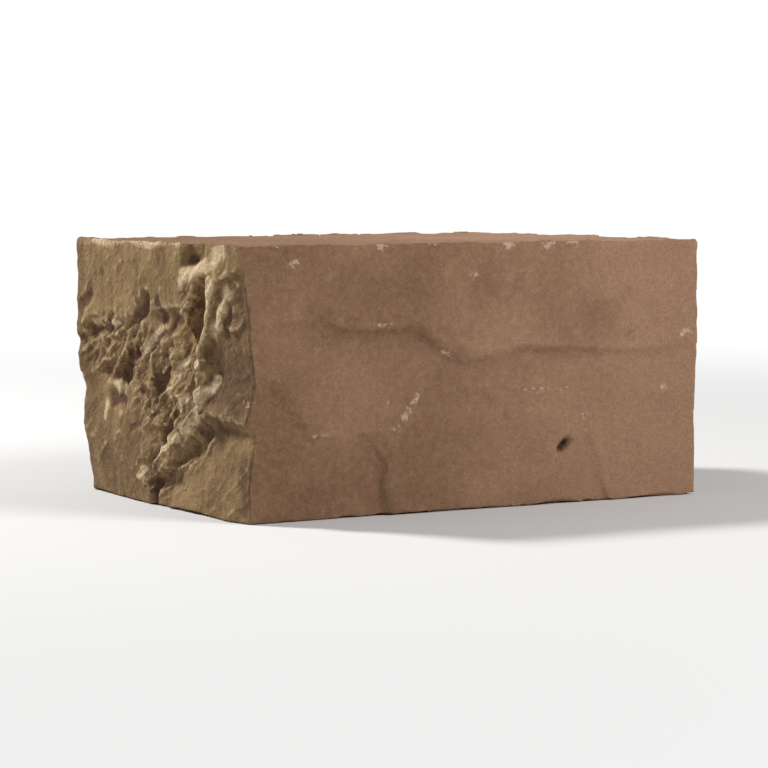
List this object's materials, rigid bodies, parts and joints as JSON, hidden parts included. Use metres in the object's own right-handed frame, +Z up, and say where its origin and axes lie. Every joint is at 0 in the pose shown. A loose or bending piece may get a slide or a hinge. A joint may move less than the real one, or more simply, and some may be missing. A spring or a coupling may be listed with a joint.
{
  "type": "rock-face stone wall block",
  "caption": "Squared natural sandstone walling block with flat beds, a split front face and a boldly rock-faced end, for dry-laid or mortared walls.",
  "frame": {"origin": "on the lower bed, under the middle of the block", "axes": "+X along the wall, away from the rock-faced end; +Y through the wall, away from the front face; +Z up, towards the upper bed"},
  "size_m": [0.3, 0.21, 0.15],
  "materials": {
    "sandstone": "split and rock-faced, matt brown to olive sandstone"
  },
  "bodies": {
    "root": {"wall_block": "sandstone"}
  },
  "joints": []
}
